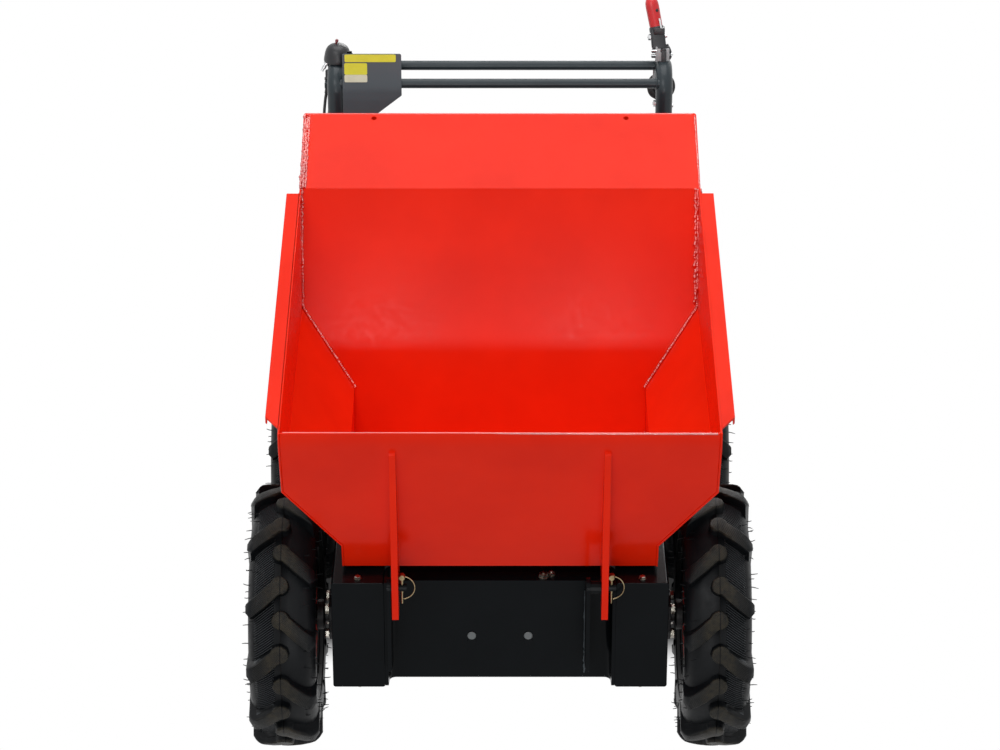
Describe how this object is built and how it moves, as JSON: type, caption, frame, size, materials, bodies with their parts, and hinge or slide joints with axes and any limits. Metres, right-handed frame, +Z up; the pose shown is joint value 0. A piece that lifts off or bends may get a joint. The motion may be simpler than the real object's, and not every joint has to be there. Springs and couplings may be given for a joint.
{
  "type": "site dumper",
  "caption": "Walk-behind site dumper: forward-tipping folded steel skip on a low chassis with lugged tyres, engine deck, bent handlebar and control panel.",
  "frame": {"origin": "on the ground under the middle of the machine's length and width", "axes": "+Y to the rear, towards the operator; +X to the operator's left; +Z up"},
  "size_m": [0.758, 1.1162, 0.9482],
  "materials": {
    "chassis_black": "satin black paint",
    "bearing_iron": "painted casting",
    "zinc_steel": "yellow zinc plating",
    "skip_red": "gloss red-orange powder coat",
    "tyre_rubber": "dusty black rubber",
    "rim_red": "gloss red paint",
    "hub_black": "satin black paint",
    "engine_black": "semi-gloss black",
    "engine_aluminium": "raw casting",
    "tank_black": "gloss black",
    "exhaust_steel": "heat-stained steel",
    "filter_plastic": "matte",
    "grip_rubber": "matte",
    "panel_blue_grey": "satin dark blue-grey paint",
    "control_plastic": "moulded black plastic"
  },
  "bodies": {
    "chassis": {"side_case_left": "chassis_black", "side_case_right": "chassis_black", "front_channel": "chassis_black", "skip_rests": "chassis_black", "rear_crossmember": "chassis_black", "engine_deck": "chassis_black", "handlebar": "chassis_black", "belt_guard": "chassis_black", "bearing_flanges": "bearing_iron", "gearbox": "bearing_iron", "hinge_pins": "zinc_steel", "linch_pins": "zinc_steel", "engine_block": "engine_black", "recoil_starter": "engine_black", "engine_cylinder": "engine_aluminium", "carburettor": "engine_aluminium", "fuel_tank": "tank_black", "muffler": "exhaust_steel", "air_filter": "filter_plastic", "hand_grips": "grip_rubber", "control_panel": "panel_blue_grey", "switch_housing": "control_plastic", "control_lever": "control_plastic", "control_cables": "control_plastic"},
    "skip": {"skip_front": "skip_red", "skip_floor": "skip_red", "skip_back": "skip_red", "skip_chute": "skip_red", "skip_side_left": "skip_red", "skip_side_right": "skip_red", "hinge_arm_left": "skip_red", "hinge_arm_right": "skip_red"},
    "wheel_front_left": {"tyre_front_left": "tyre_rubber", "rim_front_left": "rim_red", "hub_front_left": "hub_black"},
    "wheel_front_right": {"tyre_front_right": "tyre_rubber", "rim_front_right": "rim_red", "hub_front_right": "hub_black"},
    "wheel_rear_left": {"tyre_rear_left": "tyre_rubber", "rim_rear_left": "rim_red", "hub_rear_left": "hub_black"},
    "wheel_rear_right": {"tyre_rear_right": "tyre_rubber", "rim_rear_right": "rim_red", "hub_rear_right": "hub_black"}
  },
  "joints": [
    {"name": "skip_tip", "type": "hinge", "parent": "chassis", "child": "skip", "pos_m": [0, -0.49564, 0.326], "axis": [1, 0, 0], "range_deg": [0, 80]},
    {"name": "spin_front_left", "type": "hinge", "parent": "chassis", "child": "wheel_front_left", "pos_m": [0.327, -0.35564, 0.2025], "axis": [1, 0, 0], "continuous": true},
    {"name": "spin_front_right", "type": "hinge", "parent": "chassis", "child": "wheel_front_right", "pos_m": [-0.327, -0.35564, 0.2025], "axis": [1, 0, 0], "continuous": true},
    {"name": "spin_rear_left", "type": "hinge", "parent": "chassis", "child": "wheel_rear_left", "pos_m": [0.327, 0.17436, 0.2025], "axis": [1, 0, 0], "continuous": true},
    {"name": "spin_rear_right", "type": "hinge", "parent": "chassis", "child": "wheel_rear_right", "pos_m": [-0.327, 0.17436, 0.2025], "axis": [1, 0, 0], "continuous": true}
  ]
}
